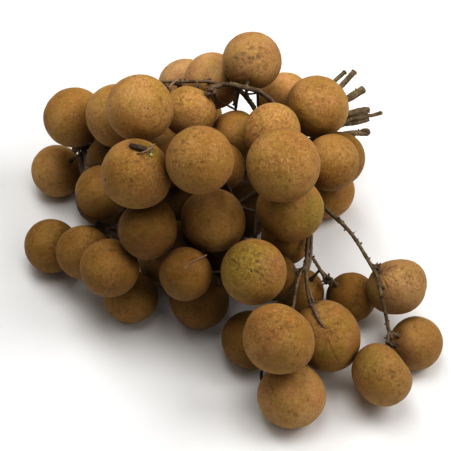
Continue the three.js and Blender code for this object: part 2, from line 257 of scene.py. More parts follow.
def cut_material():
    """Sawn wood: pale, ringed round a darker pith, with a thin rim of bark."""
    ring_tan, ring_cream, grain_brown = (0.42, 0.36, 0.2), (0.58, 0.52, 0.32), (0.3, 0.23, 0.13)
    pith, rim = (0.2, 0.13, 0.07), (0.13, 0.085, 0.05)

    s = Shader("twig_cut")
    radius = s.field("radius")
    uneven = s.plus(radius, s.times(s.noise(900, 2), 0.25))
    rings = s.math("SINE", s.times(uneven, 22.0))
    grain = s.noise(3000, 3, 0.6)
    color = s.mix(s.span(rings, -1, 1), ring_tan, ring_cream)
    color = s.mix(s.span(grain, 0.4, 0.75, 0, 0.5), color, grain_brown)
    color = s.mix(s.span(radius, 0.0, 0.3, 0.75, 0.0), color, pith)
    color = s.mix(s.span(radius, 0.8, 0.92), color, rim)
    normal = s.bump(s.plus(grain, s.times(rings, 0.2)), 0.6, 0.0002)
    return s.surface(color, 0.85, normal, Specular_IOR_Level=0.25)


def fresh_material():
    """The pale green of a freshly broken stalk."""
    leaf_green, cream_green, fibre_green = (0.36, 0.4, 0.13), (0.6, 0.58, 0.3), (0.24, 0.24, 0.08)
    s = Shader("twig_fresh_end")
    fibre = s.noise(1600, 3, 0.6)
    color = s.mix(s.span(s.noise(500, 2), 0.35, 0.65), leaf_green, cream_green)
    color = s.mix(s.span(fibre, 0.52, 0.7, 0, 0.5), color, fibre_green)
    return s.surface(color, 0.7, s.bump(fibre, 0.5, 0.0002), Specular_IOR_Level=0.3)


fresh_end = fresh_material()
skin = skin_material()
bark = bark_material()
cut_wood = cut_material()


# ---- Mesh helpers ----


def points_of(mesh):
    """Every vertex of a mesh, one to a row."""
    flat = np.empty(len(mesh.vertices) * 3)
    mesh.vertices.foreach_get("co", flat)
    return flat.reshape(-1, 3)


def make_piece(name, verts, faces, material, replaced=(), fields=None):
    """A piece that rides on the bunch's one body, with its vertex fields for the material."""
    mesh = bpy.data.meshes.new(name)
    mesh.from_pydata([tuple(v) for v in verts], [], [tuple(f) for f in faces])
    mesh.polygons.foreach_set("use_smooth", [True] * len(mesh.polygons))
    for key, values in (fields or {}).items():
        layer = mesh.attributes.new(key, "FLOAT", "POINT")
        layer.data.foreach_set("value", np.asarray(values, np.float32))
    mesh.materials.append(material)
    mesh.update()
    piece = placed(name, mesh)
    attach(piece, "root")
    if replaced:
        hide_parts(*replaced)


def unit_of(directions):
    """The same directions, one or many, with a length of 1."""
    return directions / np.linalg.norm(directions, axis=-1, keepdims=True)


def cube_sphere(n):
    """A unit sphere of six square grids, n faces to a side, with nearly even faces."""
    turn = np.tan(np.linspace(-math.pi / 4, math.pi / 4, n + 1))
    a, b = np.meshgrid(turn, turn, indexing="ij")
    one = np.ones_like(a)
    sides = [(one, a, b), (-one, b, a), (b, one, a), (a, -one, b), (a, b, one), (b, a, -one)]
    verts = np.concatenate([np.stack(s, -1).reshape(-1, 3) for s in sides])
    verts = unit_of(verts)
    k = np.arange(6 * (n + 1) ** 2).reshape(6, n + 1, n + 1)[:, :-1, :-1].ravel()
    quads = np.stack([k, k + n + 1, k + n + 2, k + 1], -1)
    _, firsts, back = np.unique(np.round(verts, 6), axis=0, return_index=True, return_inverse=True)
    return verts[firsts], back.ravel()[quads]


def fit_ellipsoid(cloud):
    """Centre, half lengths and axes of the ellipsoid through a cloud of surface points."""
    middle = cloud.mean(0)
    x, y, z = (cloud - middle).T
    terms = np.stack([x * x, y * y, z * z, x * y, x * z, y * z, x, y, z], -1)
    q = np.linalg.lstsq(terms, np.ones(len(cloud)), rcond=None)[0]
    a = np.array([[q[0], q[3] / 2, q[4] / 2], [q[3] / 2, q[1], q[5] / 2],
                  [q[4] / 2, q[5] / 2, q[2]]])
    centre = -np.linalg.solve(a, q[6:9]) / 2
    level = 1 + centre @ a @ centre
    values, axes = np.linalg.eigh(a / level)
    return centre + middle, 1 / np.sqrt(values), axes


def steps(value, low, high):
    """A soft rise from 0 at low to 1 at high."""
    t = np.clip((value - low) / (high - low), 0, 1)
    return t * t * (3 - 2 * t)


def rough(places, scale, octaves=2, shift=0.0):
    """Noise of about -1..1 at each place."""
    offset = Vector((shift, shift * 0.7, -shift))
    return np.array([noise.fractal(Vector(p) * scale + offset, 1.0, 2.0, octaves)
                     for p in places])


def in_view(right, up, toward):
    """The direction that the camera sees going so far right, up and toward it."""
    d = right_view * right + up_view * up - away * toward
    return np.array(d.normalized())


# ---- Fruits ----

# Faces along each side of a fruit's six square grids: most on creased fruits, fewest on buried ones.
GRID_GROUPS = {
    52: (16, 31, 46, 51, 53),
    33: (1, 2, 3, 6, 8, 20, 25, 27, 33, 34, 35, 38, 48, 49, 52),
    18: (7, 12, 13, 14, 15, 23, 24, 26, 28, 32, 41, 42, 45),
}
USUAL_GRID = 25
# Partly real ripeness, partly painted light and shade: fruits at the top and back of the bunch are painted
# paler where light falls on them, and those deep in the bunch browner where shade falls.
TONE_AND_PAINTED_LIGHT_GROUPS = {
    1.55: (4, 5, 23, 39),
    1.32: (1, 2, 3, 6, 9, 34, 35, 49),
    1.18: (7, 8, 31, 33, 38, 40, 43, 51),
    1.05: (16, 25, 27, 36, 46, 48, 52, 53),
    0.66: (22, 29, 30, 50),
    0.45: (10, 12, 13, 15, 24, 26, 28, 42, 45),
}
USUAL_TONE = 0.88
DUSTY = {4: 0.2, 5: 0.12, 6: 0.15, 49: 0.1, 51: 0.25, 52: 0.12, 53: 0.12}  # greyer rind
PAINTED_SKIN_SHADE_KEEPS = 0.42  # painted shade: share of its colour that the skin keeps deep between touching fruits

DIP_DEPTH = 0.55 * MM  # where the stalk joins
DIP_WIDTH = 0.22  # seen from the fruit's middle, in radians, as are the next two
SHOULDER_AWAY = 0.5
SHOULDER_WIDTH = 0.3
SHOULDER_HEIGHT = 0.25 * MM
GRAIN_HEIGHT = 0.07 * MM
LUMP_SHARE = 0.014  # of the radius
SPOT_DEPTH = 0.1 * MM
CREASE_WANDER = 0.022  # of the radius
LIP_AWAY, LIP_WIDTH, LIP_SHARE = 2.0, 0.8, 0.35  # beside a crease, in its widths and its depth
WRINKLE_DEPTH = 0.09 * MM
WRINKLES_ROUND, WRINKLES_ALONG = 3.4, 1.2  # how closely they stand and how soon they bend
OLIVE_HAZE, RED_BELOW, SPOTS_ALL_OVER = 0.25, 0.22, 0.3  # the most of each where no patch is
PAINTED_SKIN_SHADE_START, PAINTED_SKIN_SHADE_END = 0.45, 0.98  # painted shade: how much round a place is hidden when the skin starts to darken, and when it is darkest
FRUIT_SEED = 9000
LOWEST = 0.02 * MM  # no skin goes lower, and lower points of a solid belong to its flat spot

fruit_nodes = sorted(n for n in nodes if n.startswith("fruit"))
twig_clouds = {n: points_of(nodes[n].data) for n in sorted(nodes) if n.startswith("twig")}
all_twigs = np.concatenate([points_of(o.data) for n, o in nodes.items() if n.startswith("twig")])
grids = {n: cube_sphere(n) for n in (*GRID_GROUPS, USUAL_GRID)}


def by_fruit(groups):
    """Each fruit's value, from the group that it stands in."""
    return {number: value for value, group in groups.items() for number in group}


grid_sizes = by_fruit(GRID_GROUPS)
fruit_tone_and_painted_light = by_fruit(TONE_AND_PAINTED_LIGHT_GROUPS)

# Everything below gives a place on a fruit as it shows from the front: how far right and how far
# up from the middle of the fruit's disc, in shares of its radius.

# Patches: fruit number, then the place, width in degrees and strength of each.
olive_patches = {
    31: [(-0.35, 0.35, 62, 0.95), (-0.5, -0.5, 45, 0.55)],
    35: [(0.75, -0.15, 42, 0.85), (-0.2, -0.3, 50, 0.35)], 53: [(-0.4, 0.5, 40, 0.65)],
    # Fruit 51's patch on its left is partly olive rind and partly painted shade on its dark side.
    16: [(0.45, 0.65, 30, 0.5)], 33: [(-0.45, -0.3, 45, 0.25)], 51: [(-0.85, -0.15, 34, 0.8)],
    6: [(-0.75, -0.15, 30, 0.5)], 46: [(-0.1, -0.7, 50, 0.4)], 18: [(0.4, 0.5, 40, 0.35)],
}
red_patches = {
    51: [(-0.37, 0.68, 22, 0.95), (0.05, -0.55, 48, 0.4)], 52: [(-0.45, -0.45, 42, 0.75)],
    31: [(0.6, 0.1, 38, 0.45)], 48: [(-0.45, 0.25, 32, 0.4), (-0.1, -0.45, 40, 0.35)],
    46: [(-0.25, 0.1, 22, 0.4)], 6: [(-0.35, -0.3, 34, 0.45), (0.75, 0.45, 30, 0.3)],
    3: [(0, -0.5, 45, 0.3)], 16: [(0.5, -0.35, 45, 0.35)], 20: [(0.1, -0.6, 45, 0.4)],
    22: [(0.1, -0.5, 50, 0.4)],
}
spotted_patches = {
    1: [(0.2, 0.4, 70, 0.6)], 3: [(0.35, 0.15, 60, 0.9)], 6: [(-0.1, 0, 48, 1)],
    25: [(0, 0.3, 55, 0.9)], 33: [(-0.1, 0.45, 70, 0.9)], 34: [(0, 0.1, 80, 1)],
    31: [(0, 0.55, 45, 1)], 48: [(-0.05, 0.45, 36, 1)], 16: [(0.1, 0.3, 55, 0.9)],
    36: [(0.2, 0.2, 60, 0.5)], 38: [(0.1, 0.3, 60, 0.6)], 51: [(0.4, 0.3, 35, 0.8)],
    46: [(0.1, 0.45, 45, 0.6)], 53: [(0.2, 0.35, 35, 0.6)], 20: [(-0.1, 0.4, 50, 0.5)],
    18: [(0.4, 0.3, 40, 0.6)],
}

# Creases: fruit number, then the line, its width and depth in mm and how dark it is.
creases = {
    31: [([(-0.66, 0.36), (-0.6, 0.3), (-0.52, 0.26), (-0.43, 0.2)], 0.34, 0.22, 0.62),
        ([(-0.26, 0.14), (-0.16, 0.07), (-0.06, 0)], 0.3, 0.18, 0.35),
        ([(-0.08, 0.01), (-0.05, 0)], 0.42, 0.22, 0.85),
        ([(0.02, 0.04), (0.14, -0.04), (0.26, -0.13)], 0.4, 0.22, 0.5),
        ([(0.26, -0.13), (0.37, -0.21)], 0.3, 0.12, 0.25)],
    46: [([(-0.4, 0.62), (-0.3, 0.5), (-0.2, 0.36), (-0.05, 0.23)], 0.45, 0.2, 0.7),
        ([(0, 0.22), (0.17, 0.08), (0.36, -0.09)], 0.3, 0.24, 0.55),
        ([(0.18, 0.08), (0.27, 0), (0.36, -0.09)], 0.26, 0.1, 0.45),
        ([(0.02, -0.06), (0.1, -0.3), (0.22, -0.55), (0.34, -0.72)], 0.34, 0.2, 0.4),
        ([(0.03, -0.11), (0.07, -0.24)], 0.3, 0.12, 0.5),
        ([(0.02, 0.1), (-0.08, -0.3), (-0.16, -0.62)], 0.45, 0.12, 0.1),
        ([(0.06, 0.24), (0.3, 0.19), (0.5, 0.06)], 0.36, 0.14, 0.1)],
    51: [([(-0.42, 0.56), (-0.22, 0.67), (-0.06, 0.73)], 0.5, 0.28, 0.55),
        ([(-0.46, 0.47), (-0.2, 0.5), (-0.02, 0.5)], 0.34, 0.15, 0.12),
        ([(-0.45, 0.4), (-0.22, 0.3), (0, 0.15)], 0.34, 0.15, 0.08),
        ([(-0.47, 0.36), (-0.3, 0.18), (-0.16, 0.04)], 0.34, 0.16, 0.08),
        ([(-0.52, 0.32), (-0.42, 0.1), (-0.34, -0.06)], 0.34, 0.15, 0.1),
        ([(-0.57, 0.26), (-0.52, 0.08)], 0.34, 0.15, 0.12)],
    53: [([(0, 0.12), (0.1, 0.16), (0.2, 0.22)], 0.4, 0.15, 0.22)],
    29: [([(0.24, 0.5), (0.33, 0.56), (0.42, 0.6)], 0.3, 0.15, 0.45)],
    20: [([(-0.15, 0.62), (0.05, 0.58), (0.22, 0.6)], 0.4, 0.15, 0.25)],
}
# Spots: fruit number, then place, radius in mm and how dark it is. Fruit 27's two wide spots and fruit 16's
# last, widest one are painted shadows cast by neighbouring fruits.
dark_spots = {
    31: [(-0.31, 0.41, 0.75, 0.45), (-0.01, 0.56, 0.8, 0.35), (-0.09, 0.37, 0.6, 0.45),
        (0.19, 0.54, 0.8, 0.35), (0.11, 0.33, 0.9, 0.45), (0.42, 0.36, 0.7, 0.3)],
    51: [(-0.49, -0.07, 0.75, 0.95), (0.14, 0.59, 0.7, 0.45), (0.3, 0.15, 0.6, 0.45),
        (0.42, 0.09, 0.7, 0.4), (0.36, 0.35, 0.7, 0.4), (0.24, 0.24, 0.6, 0.4),
        (0.48, 0.25, 0.6, 0.4), (-0.05, 0.18, 0.6, 0.3)],
    46: [(0.01, 0.68, 0.6, 0.45), (0.08, 0.72, 0.5, 0.45), (0.26, 0.18, 0.6, 0.5),
        (0.32, 0.38, 0.6, 0.45), (0.05, 0.58, 0.5, 0.35), (0.2, 0.5, 0.5, 0.3)],
    53: [(0.19, 0.61, 0.9, 0.35), (0.29, 0.15, 1, 0.35), (-0.22, 0.39, 0.7, 0.3),
        (0.25, 0.36, 0.6, 0.3), (0.33, 0, 0.7, 0.25)],
    48: [(-0.23, 0.63, 0.9, 0.4), (-0.04, 0.48, 0.9, 0.4), (0.22, 0.43, 0.8, 0.4),
        (0.06, 0.28, 0.45, 0.8), (0.31, 0.06, 0.4, 0.85), (-0.4, 0.55, 0.6, 0.3),
        (0.12, 0.16, 0.8, 0.3), (-0.14, 0.2, 0.8, 0.3), (0.36, 0.32, 0.5, 0.5)],
    # The last spot of fruit 16 is a painted shadow from the fruit above it.
    16: [(-0.93, 0.19, 0.5, 0.95), (-0.9, 0.25, 0.35, 0.9), (-0.88, -0.18, 0.65, 0.85),
        (-0.12, -0.2, 0.8, 0.5), (-0.36, -0.2, 0.7, 0.35), (0.07, 0.36, 0.9, 0.35),
        (-0.3, 0.3, 0.7, 0.3), (0.16, 0, 0.5, 0.35), (-0.52, 0, 0.35, 0.6), (0.02, 0.9, 4.5, 0.4)],
    6: [(-0.02, 0.42, 1, 0.45), (0.28, 0.42, 0.9, 0.4), (-0.3, 0.22, 1.1, 0.4),
        (0.22, 0.2, 1.2, 0.4), (-0.08, 0.1, 0.8, 0.6), (0.03, 0.08, 0.6, 0.6),
        (-0.55, 0.12, 0.8, 0.4), (0.48, 0.3, 0.9, 0.35), (-0.1, 0.58, 0.6, 0.35),
        (-0.86, -0.2, 0.9, 0.6), (-0.85, -0.35, 0.9, 0.55)],
    # Both spots of fruit 27 are painted shadow cast by a neighbouring fruit.
    27: [(-0.45, 0.66, 5.5, 0.4), (-0.05, 0.85, 4.5, 0.35)],
    33: [(-0.1, -0.3, 0.7, 0.45), (0.08, -0.58, 0.9, 0.35), (-0.28, -0.62, 0.9, 0.25)],
    34: [(-0.3, 0.1, 0.8, 0.35), (0.15, 0.3, 0.8, 0.35)],
    25: [(-0.8, -0.05, 0.3, 0.8), (0.25, 0.2, 0.6, 0.3)],
    3: [(-0.42, 0.92, 0.35, 0.85), (-0.1, 0.8, 0.3, 0.7)],
    35: [(0.58, -0.37, 0.4, 0.8), (0.44, -0.2, 0.35, 0.6), (0.5, -0.1, 0.3, 0.6)],
    49: [(0.46, -0.12, 0.45, 0.75), (-0.45, 0, 0.4, 0.5)],
    52: [(-0.04, 0.63, 0.5, 0.45), (-0.26, 0.59, 0.5, 0.4), (0.18, 0.56, 0.5, 0.3)],
}
# Swells and dents: fruit number, then place, width in degrees and share of the radius. They bring
# outlines closer to the photo's, and plump out hidden fruits where the floor would show through.
swells = {
    51: [(0.05, 1, 42, -0.09), (0, -1, 42, -0.08), (-0.98, -0.1, 34, 0.06), (1, 0, 30, -0.03)],
    48: [(0.58, 0.8, 30, -0.06), (0.8, -0.6, 32, 0.06), (-0.62, 0.78, 26, 0.05)],
    3: [(0.65, 0.65, 42, -0.06)],
    12: [(-0.6, 0.8, 34, 0.14)],
    16: [(0.78, -0.62, 36, 0.06)],
    22: [(0.5, 0.86, 34, 0.1)],
    24: [(0.95, -0.1, 40, 0.2)],
    26: [(-0.9, -0.42, 44, 0.4)],
    28: [(-0.85, 0.45, 42, 0.26)],
    42: [(0.1, -0.98, 34, 0.16)],
    43: [(0.75, -0.65, 40, -0.12)],
    53: [(-0.38, 0.92, 36, 0.13), (0.78, 0.62, 34, -0.15), (-0.82, -0.57, 36, -0.11)],
}
# Fine wrinkles fanning from a stem end: place, heading, half width and reach in degrees.
wrinkle_fans = {
    46: ((-0.05, 0.23), (0.6, -0.6), 130, 60),
    51: ((-0.62, 0.5), (0.8, -0.6), 75, 58),
}

fruit_facts = {}
for name in fruit_nodes:
    cloud = points_of(nodes[name].data)
    fruit_facts[int(name.split("_")[1])] = fit_ellipsoid(cloud[cloud[:, 2] > LOWEST])


def stalk_end(number):
    """Where a fruit's stalk meets its skin, and the way out along the stalk."""
    centre, halves, axes = fruit_facts[number]
    odd = int(np.argmax(np.abs(halves - np.median(halves))))
    axis = axes[:, odd]
    near = all_twigs[np.argmin(np.linalg.norm(all_twigs - centre, axis=1))] - centre
    if axis @ near < 0:
        axis = -axis
    return centre + axis * halves[odd], axis


def seen(number, place):
    """The direction, from a fruit's centre, of a place given as it shows from the front."""
    right, up = place
    toward = unit_of(np.array(camera.location) - fruit_facts[number][0])
    side = unit_of(np.cross(np.array(up_view), toward))
    out = side * right + np.cross(toward, side) * up
    return out + toward * math.sqrt(max(1 - right * right - up * up, 0))


def hiddenness(number, places, unit):
    """How much of what each place faces is filled by other fruits, 0 to 1."""
    open_share = np.ones(len(places))
    for other, (centre, halves, _) in fruit_facts.items():
        if other == number:
            continue
        to = centre - places
        far = np.linalg.norm(to, axis=1)
        facing = np.maximum((to * unit).sum(1) / far, 0)
        open_share *= 1 - np.clip(facing * (np.mean(halves) / far) ** 2, 0, 1)
    return 1 - open_share


def angle_from(number, place, unit):
    """Degrees between each direction and a place, as seen from the fruit's middle."""
    way = seen(number, place)
    return np.degrees(np.arccos(np.clip(unit @ way / np.linalg.norm(way), -1, 1)))


def patches(table, number, unit):
    """The strongest of a fruit's patches at each place, with uneven edges."""
    total = np.zeros(len(unit))
    if number in table:
        uneven = 9 * rough(unit, 3.0, 2, number + 0.5)
        for *place, width, strength in table[number]:
            angle = angle_from(number, place, unit) + uneven
            total = np.maximum(total, strength * (1 - steps(angle, width * 0.4, width * 1.15)))
    return total


def creased(number, unit, radius):
    """How deep and how dark the creases and spots make each place."""
    deep, dark = np.zeros(len(unit)), np.zeros(len(unit))
    if number in creases or number in dark_spots:
        wander = np.stack([rough(unit, 7, 2, number + k) for k in (1.5, 2.5, 3.5)], -1)
        moved = unit + CREASE_WANDER * wander
    for path, width, depth, darkness in creases.get(number, ()):
        line = [seen(number, place) for place in path]
        near = np.full(len(unit), np.inf)
        for a, b in zip(line, line[1:]):
            share = np.clip((moved - a) @ (b - a) / ((b - a) @ (b - a)), 0, 1)[:, None]
            on_line = unit_of(a + share * (b - a))
            near = np.minimum(near, np.linalg.norm(moved - on_line, axis=1))
        across = near * radius / (width * MM)
        groove = np.exp(-across ** 2)
        lip = np.exp(-((across - LIP_AWAY) / LIP_WIDTH) ** 2)
        deep += depth * MM * (groove - LIP_SHARE * lip)
        dark = np.maximum(dark, darkness * np.exp(-(across * 1.1) ** 2))
    for *place, size, darkness in dark_spots.get(number, ()):
        across = np.linalg.norm(moved - seen(number, place), axis=1) * radius / (size * MM)
        dark = np.maximum(dark, darkness * np.exp(-across ** 4))
        deep += SPOT_DEPTH * darkness * np.exp(-across ** 2)
    return deep, dark


def wrinkled(number, unit):
    """Fine ridges fanning out from a stem end."""
    if number not in wrinkle_fans:
        return np.zeros(len(unit))
    place, heading, half_width, reach = wrinkle_fans[number]
    pole = seen(number, place)
    side = seen(number, (place[0] + 0.1 * heading[0], place[1] + 0.1 * heading[1])) - pole
    side = unit_of(side - pole * (side @ pole))
    other = np.cross(pole, side)
    turn = np.arctan2(unit @ other, unit @ side)
    fall = np.arccos(np.clip(unit @ pole, -1, 1))
    fan = np.array([noise.noise(Vector((WRINKLES_ROUND * math.cos(t), WRINKLES_ROUND * math.sin(t),
                                        WRINKLES_ALONG * f + number)))
                    for t, f in zip(turn, fall)])
    ridges = 1 - 2.4 * np.abs(fan)
    across, along = np.degrees(np.abs(turn)), np.degrees(fall)
    window = (1 - steps(across, half_width * 0.6, half_width)) * steps(along, 3, 9)
    window = window * (1 - steps(along, reach * 0.45, reach))
    return WRINKLE_DEPTH * ridges * window


def build_fruit(node_name):
    """A fruit over its solid, with its own lumps, creases, spots and colour."""
    number = int(node_name.split("_")[1])
    centre, halves, axes = fruit_facts[number]
    _, axis = stalk_end(number)
    draw = random.Random(FRUIT_SEED + number)
    unit, quads = grids[grid_sizes.get(number, USUAL_GRID)]
    reach = 1 / np.sqrt((((unit @ axes) / halves) ** 2).sum(1))
    places = centre + unit * reach[:, None]
    seed = number * 3.7
    swell = rough(unit, 1.3, 1, seed) * LUMP_SHARE
    for *place, width, amount in swells.get(number, ()):
        swell += amount * np.exp(-(angle_from(number, place, unit) / width) ** 2)
    angle = np.arccos(np.clip(unit @ axis, -1, 1))
    dip = DIP_DEPTH * np.exp(-((angle / DIP_WIDTH) ** 2))
    shoulder = SHOULDER_HEIGHT * np.exp(-(((angle - SHOULDER_AWAY) / SHOULDER_WIDTH) ** 2))
    deep, dark = creased(number, unit, float(np.mean(halves)))
    relief = GRAIN_HEIGHT * rough(places, 420, 2, 3.1) + wrinkled(number, unit)
    size = reach * (1 + swell) - (dip - shoulder) - deep + relief
    verts = centre + unit * size[:, None]
    verts[:, 2] = np.maximum(verts[:, 2], LOWEST)

    # Painted shade: the tone darkens the skin where other fruits close round it.
    buried = steps(hiddenness(number, places, unit), PAINTED_SKIN_SHADE_START, PAINTED_SKIN_SHADE_END)
    fields = {
        "tone": fruit_tone_and_painted_light.get(number, USUAL_TONE) * (1 + 0.06 * rough(unit, 1.3, 1, seed + 5))
        * (1 - (1 - PAINTED_SKIN_SHADE_KEEPS) * buried),
        "olive": np.clip(patches(olive_patches, number, unit)
                         + OLIVE_HAZE * steps(rough(unit, 1.6, 2, seed + 9), 0.15, 0.6), 0, 1),
        "red": np.clip(patches(red_patches, number, unit)
                       + draw.uniform(0.0, RED_BELOW) * steps(-unit[:, 2], 0.0, 0.8), 0, 1),
        "spots": np.clip(patches(spotted_patches, number, unit)
                         + draw.uniform(0.0, SPOTS_ALL_OVER) + 0.15 * rough(unit, 1.8, 1, seed + 15), 0, 1),
        "dark": dark,
        "dusty": np.full(len(unit), DUSTY.get(number, 0.0)),
    }
    make_piece(node_name.replace("fruit", "longan"), verts, quads, skin,
               (node_name,), fields)


for name in fruit_nodes:
    build_fruit(name)


# ---- Twigs ----

VOXEL = 0.3 * MM
HIDDEN_VOXEL = 0.4 * MM
MOSTLY_HIDDEN = ("twig_left", "twig_middle", "twig_right", "twig_slope")
BARK_RELIEF = 0.1 * MM
PAINTED_BARK_SHADE_START, PAINTED_BARK_SHADE_END = 0.4, 0.88  # painted shade: how much round a place is hidden when its bark starts to darken, and when it is darkest
SMALLEST_PART = 24  # vertices; what is smaller is a stray bubble of the remeshing


def whole_parts(verts, faces, edges):
    """The mesh without its stray bubbles."""
    label = np.arange(len(verts))
    while True:
        joined = label.copy()
        for ends in edges.T:
            np.minimum.at(joined, ends, label[edges].min(axis=1))
        joined = joined[joined]
        if (joined == label).all():
            break
        label = joined
    kept = np.bincount(label)[label] >= SMALLEST_PART
    new = np.cumsum(kept) - 1
    faces = [tuple(int(new[i]) for i in face) for face in faces if kept[face[0]]]
    return verts[kept], faces, new[edges[kept[edges[:, 0]]]]


def remeshed(solid, voxel):
    """A fine even mesh over a closed one."""
    copy = placed("work", solid.copy())
    modifier = copy.modifiers.new("even", "REMESH")
    modifier.mode = "VOXEL"
    modifier.voxel_size = voxel
    shown = copy.evaluated_get(bpy.context.evaluated_depsgraph_get())
    mesh = bpy.data.meshes.new_from_object(shown)
    verts = points_of(mesh)
    faces = [tuple(p.vertices) for p in mesh.polygons]
    edges = np.array([tuple(e.vertices) for e in mesh.edges])
    bpy.data.objects.remove(copy)
    bpy.data.meshes.remove(mesh)
    return whole_parts(verts, faces, edges)


def smoothed(verts, edges, rounds):
    """Smooths without shrinking: each round pulls in, then pushes back a little more."""
    count = np.bincount(edges.ravel(), minlength=len(verts))[:, None]
    for _ in range(rounds):
        for pull in (0.5, -0.52):
            total = np.zeros_like(verts)
            for one, other in (edges.T, edges.T[::-1]):
                np.add.at(total, one, verts[other])
            verts = verts + pull * (total / count - verts)
    return verts


def normals_of(verts, faces):
    """The way out at each vertex."""
    quads = np.array([f if len(f) == 4 else (*f, f[-1]) for f in faces])
    a, b, c, d = (verts[corner] for corner in quads.T)
    cross = np.cross(c - a, d - b)
    total = np.zeros_like(verts)
    for corner in quads.T:
        np.add.at(total, corner, cross)
    return total / np.maximum(np.linalg.norm(total, axis=1), 1e-12)[:, None]


# How pinkish and how greenish each twig's bark is.
tints = {
    "twig_arch": (0.35, 0.1), "twig_left": (0.2, 0.1), "twig_slope": (0.1, 0.2),
    "twig_middle": (0.2, 0.2), "twig_right": (0.1, 0.2), "twig_front": (0.25, 0.25),
    "twig_long": (0.25, 0.15),
}
# Where a stem is thicker or thinner: place and reach in mm, then what its radius gains in mm.
thicker = [
    ((59.5, 60, 45.5), 7, 0.5),  # the knobby middle stick
    ((61, 55.5, 38.2), 7, 0.15),
    ((61, 49.5, 30.3), 6, 0.2),
    ((56.5, -18, 33), 14, -0.15),
    ((63.5, -44, 31), 12, -0.1),
]


def in_shade(places, outward):
    """How far fruits close in round each place, 0 to 1: the strength of the painted shade on bark there."""
    return steps(hiddenness(None, places, outward), PAINTED_BARK_SHADE_START, PAINTED_BARK_SHADE_END)


stem_surface = []


def build_twig(node_name):
    """A twig over its solid, with knobbly bark."""
    voxel = HIDDEN_VOXEL if node_name in MOSTLY_HIDDEN else VOXEL
    verts, faces, edges = remeshed(nodes[node_name].data, voxel)
    verts = smoothed(verts, edges, rounds=5)
    normal = normals_of(verts, faces)
    relief = BARK_RELIEF * (rough(verts, 900, 3, 1.0) + 1.2 * rough(verts, 260, 1, 4.0))
    for place, far, more in thicker:
        away_from = np.linalg.norm(verts - np.array(place) * MM, axis=1) / (far * MM)
        relief += more * MM * (1 - steps(away_from, 0.6, 1.0)) * (1 + 0.5 * rough(verts, 260, 1, 6.0))
    verts = verts + normal * relief[:, None]
    pink, green = tints[node_name]
    fields = {
        "pink": np.clip(pink + 0.5 * rough(verts, 60, 2, 7.0), 0, 1),
        "green": np.clip(green + 0.5 * rough(verts, 50, 2, 11.0), 0, 1),
        # Darker at random, and painted shade where fruits close round the twig.
        "dark": np.clip(steps(rough(verts, 300, 2, 17.0), 0.15, 0.6) * 0.5
                        + 0.9 * in_shade(verts, normal), 0, 1),
    }
    make_piece(node_name.replace("twig", "stem"), verts, faces, bark,
               (node_name,), fields)
    stem_surface.extend(zip(verts, normal))


for name in twig_clouds:
    build_twig(name)

stem_tree = KDTree(len(stem_surface))
for i, (place, _) in enumerate(stem_surface):
    stem_tree.insert(place, i)
stem_tree.balance()


def on_stem(place):
    """The nearest place on a stem's surface to one given in mm, and the way out from there."""
    _, i, _ = stem_tree.find(Vector(place) * MM)
    return stem_surface[i]


# ---- Cut ends, small twigs, buds, stubs and knots ----

# Where each twig was cut: middle of the face in mm, the way it faces and its radius in mm.
cut_ends = {
    "arch": ((58.6, 66.5, 52), (0.67, 0.67, 0.32), 1.4),
    "right": ((54.6, 68.5, 50), (0.71, 0.68, 0.17), 1.1),
    "left": ((65.6, 56.5, 33), (0.97, 0.23, 0.11), 1.3),
    "slope": ((71.6, 58.5, 34), (0.91, 0.31, -0.27), 0.95),
    "middle": ((65.6, 50.5, 29), (0.94, 0.22, -0.25), 1.25),
    "front": ((65.6, 57.5, 37), (0.9, 0.37, -0.24), 1.3),
    "long": ((62.6, 61.5, 46), (0.84, 0.5, 0.2), 1.4),
}
CUT_RINGS = 5
CUT_SIDES = 20
CUT_DOME = 0.16 * MM
CUT_WAVE = 0.05 * MM
CUT_BACK = 0.5 * MM  # how far its rim reaches back over the stem
CUT_UNEVENNESS = 0.05  # of its radius


def frame_of(direction):
    """The direction itself and two directions square to it."""
    d = Vector(direction).normalized()
    side = d.orthogonal().normalized()
    return np.array(d), np.array(side), np.array(d.cross(side))


def all_round(side, other, sides):
    """Even turns from one direction towards another and on round: each angle and its direction."""
    turns = [2 * math.pi * k / sides for k in range(sides)]
    return [(a, side * math.cos(a) + other * math.sin(a)) for a in turns]


def build_cut(label, place, facing, radius):
    """A slightly domed, uneven sawn face."""
    d, side, other = frame_of(facing)
    middle = np.array(place) * MM
    around = all_round(side, other, CUT_SIDES)
    verts, share = [], []
    for ring in range(CUT_RINGS + 1):
        r = ring / CUT_RINGS
        for a, out in around if ring else around[:1]:
            far = radius * MM * r * (1 + CUT_UNEVENNESS * math.sin(3 * a + place[0]))
            lift = CUT_DOME * (1 - r * r) + CUT_WAVE * math.sin(5 * a + place[1])
            verts.append(middle + d * (lift + CUT_WAVE) + out * far)
            share.append(r)
    back = len(verts)
    verts += [middle - d * CUT_BACK + out * radius * MM for _, out in around]
    share += [1.0] * CUT_SIDES
    faces = [(0, 1 + k, 1 + (k + 1) % CUT_SIDES) for k in range(CUT_SIDES)]
    for first in range(1, back, CUT_SIDES):
        for k in range(CUT_SIDES):
            n = (k + 1) % CUT_SIDES
            faces.append((first + k, first + CUT_SIDES + k, first + CUT_SIDES + n, first + n))
    faces.append(tuple(back + k for k in reversed(range(CUT_SIDES))))
    make_piece(f"cut_{label}", verts, faces, cut_wood, (), {"radius": share})


for label, facts in cut_ends.items():
    build_cut(label, *facts)


# The outline of a stub left by a stalk or bud: radius and height, in shares of its size.
SCAR_OUTLINE = [(0.62, -0.6), (0.55, 0.1), (0.5, 0.5), (0.62, 0.9), (0.6, 1.05), (0.4, 0.98),
                (0.18, 0.78)]


